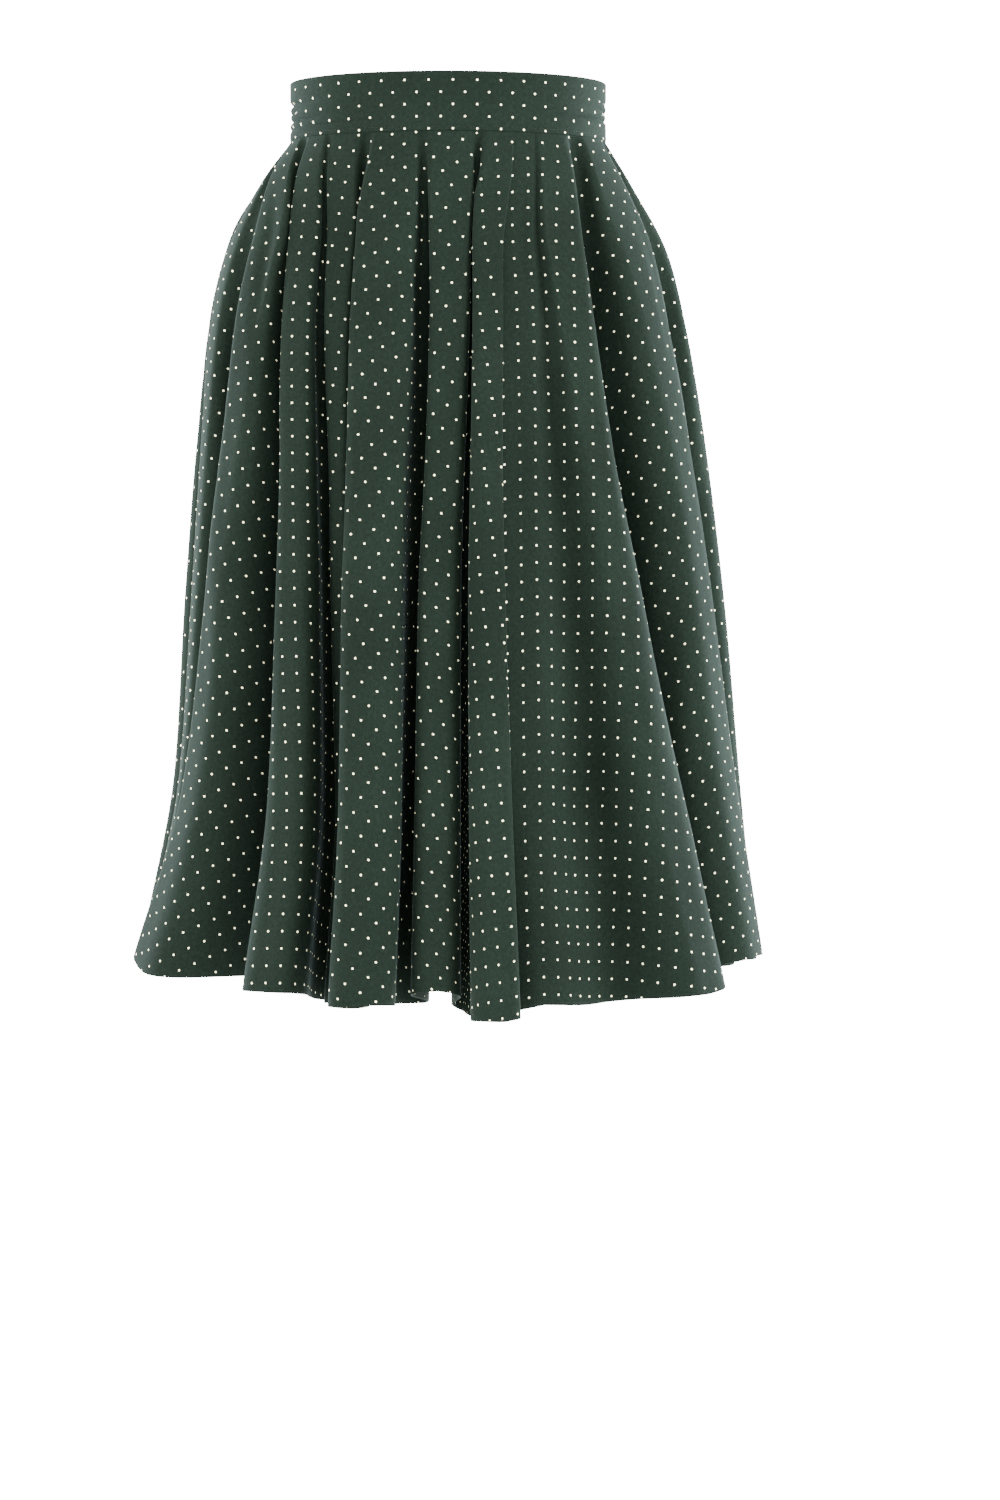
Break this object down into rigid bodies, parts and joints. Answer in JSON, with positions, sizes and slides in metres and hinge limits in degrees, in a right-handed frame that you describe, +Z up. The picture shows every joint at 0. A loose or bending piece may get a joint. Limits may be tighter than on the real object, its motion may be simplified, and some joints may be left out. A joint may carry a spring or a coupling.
{
  "type": "circle skirt",
  "caption": "Full circle midi skirt, worn: a straight waistband over cloth hanging in deep flutes, open at waist and hem, with a concealed centre back zip and a hinged pull tab.",
  "frame": {"origin": "middle of the waistband's ring, half way up its height, where the wearer's waist holds it", "axes": "+Z up, -Y the front, +X the wearer's left (the viewer's right)"},
  "size_m": [0.5002, 0.4557, 0.726],
  "materials": {
    "waistband": "brushed dark green cotton with a small cream dot",
    "skirt_front": "brushed dark green cotton with a small cream dot",
    "skirt_back_left": "brushed dark green cotton with a small cream dot",
    "skirt_back_right": "brushed dark green cotton with a small cream dot",
    "zip_tape": "plain dark green woven tape",
    "zip_slider": "dark green enamel",
    "zip_pull_tab": "dark green enamel"
  },
  "bodies": {
    "skirt": {"waistband": "waistband", "skirt_front": "skirt_front", "skirt_back_left": "skirt_back_left", "skirt_back_right": "skirt_back_right", "zip_tape": "zip_tape", "zip_slider": "zip_slider"},
    "pull_tab": {"zip_pull_tab": "zip_pull_tab"}
  },
  "joints": [
    {"name": "pull_tab_hinge", "type": "hinge", "parent": "skirt", "child": "pull_tab", "pos_m": [0.02479, 0.09573, 0.0165], "axis": [0.9886, -0.1507, 0], "range_deg": [0, 170]}
  ]
}
